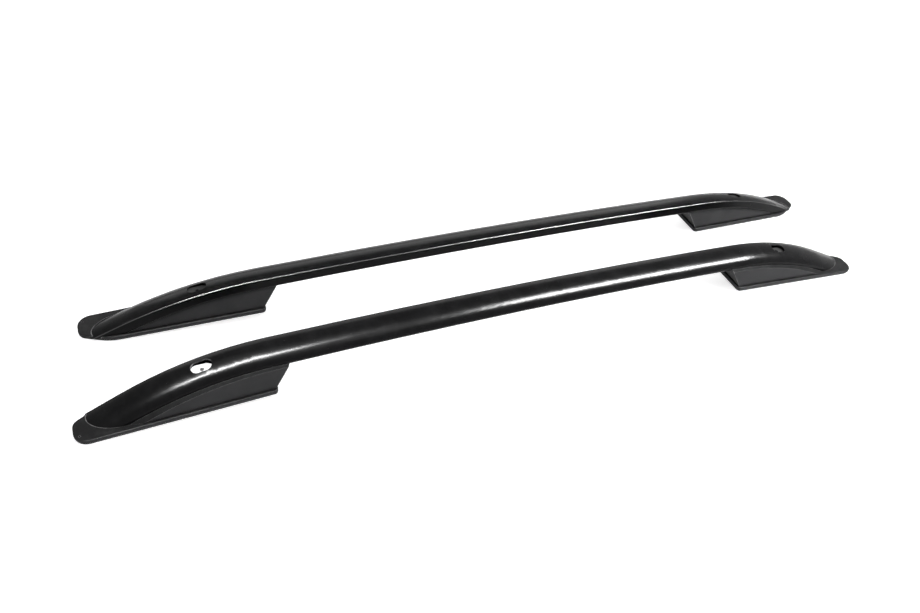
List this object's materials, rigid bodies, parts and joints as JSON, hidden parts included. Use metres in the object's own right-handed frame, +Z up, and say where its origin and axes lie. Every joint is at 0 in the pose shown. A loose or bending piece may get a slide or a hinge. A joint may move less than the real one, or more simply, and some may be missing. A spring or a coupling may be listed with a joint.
{
  "type": "roof side rail pair",
  "caption": "Mirrored pair of arched oval roof side rails on moulded feet with raked heels, inset side panels and access holes for the fixing bolts.",
  "frame": {"origin": "middle of the pair's outline, on the floor that the seals stand on", "axes": "+X along the rails towards their rear ends, +Y from the left rail to the right rail, +Z up"},
  "size_m": [1.3216, 0.2334, 0.0783],
  "materials": {
    "powder_coat": "satin",
    "foot_plastic": "matte",
    "seal_rubber": "matte",
    "sleeve_steel": "zinc plated",
    "seat_casting": "as cast",
    "screw_steel": "zinc plated"
  },
  "bodies": {
    "root": {"left_tube": "powder_coat", "left_front_foot": "foot_plastic", "left_front_seal": "seal_rubber", "left_front_sleeve": "sleeve_steel", "left_front_seat": "seat_casting", "left_front_inner_screw": "screw_steel", "left_front_outer_screw": "screw_steel", "left_rear_foot": "foot_plastic", "left_rear_seal": "seal_rubber", "left_rear_sleeve": "sleeve_steel", "left_rear_seat": "seat_casting", "left_rear_inner_screw": "screw_steel", "left_rear_outer_screw": "screw_steel", "right_tube": "powder_coat", "right_front_foot": "foot_plastic", "right_front_seal": "seal_rubber", "right_front_sleeve": "sleeve_steel", "right_front_seat": "seat_casting", "right_front_inner_screw": "screw_steel", "right_front_outer_screw": "screw_steel", "right_rear_foot": "foot_plastic", "right_rear_seal": "seal_rubber", "right_rear_sleeve": "sleeve_steel", "right_rear_seat": "seat_casting", "right_rear_inner_screw": "screw_steel", "right_rear_outer_screw": "screw_steel"}
  },
  "joints": []
}
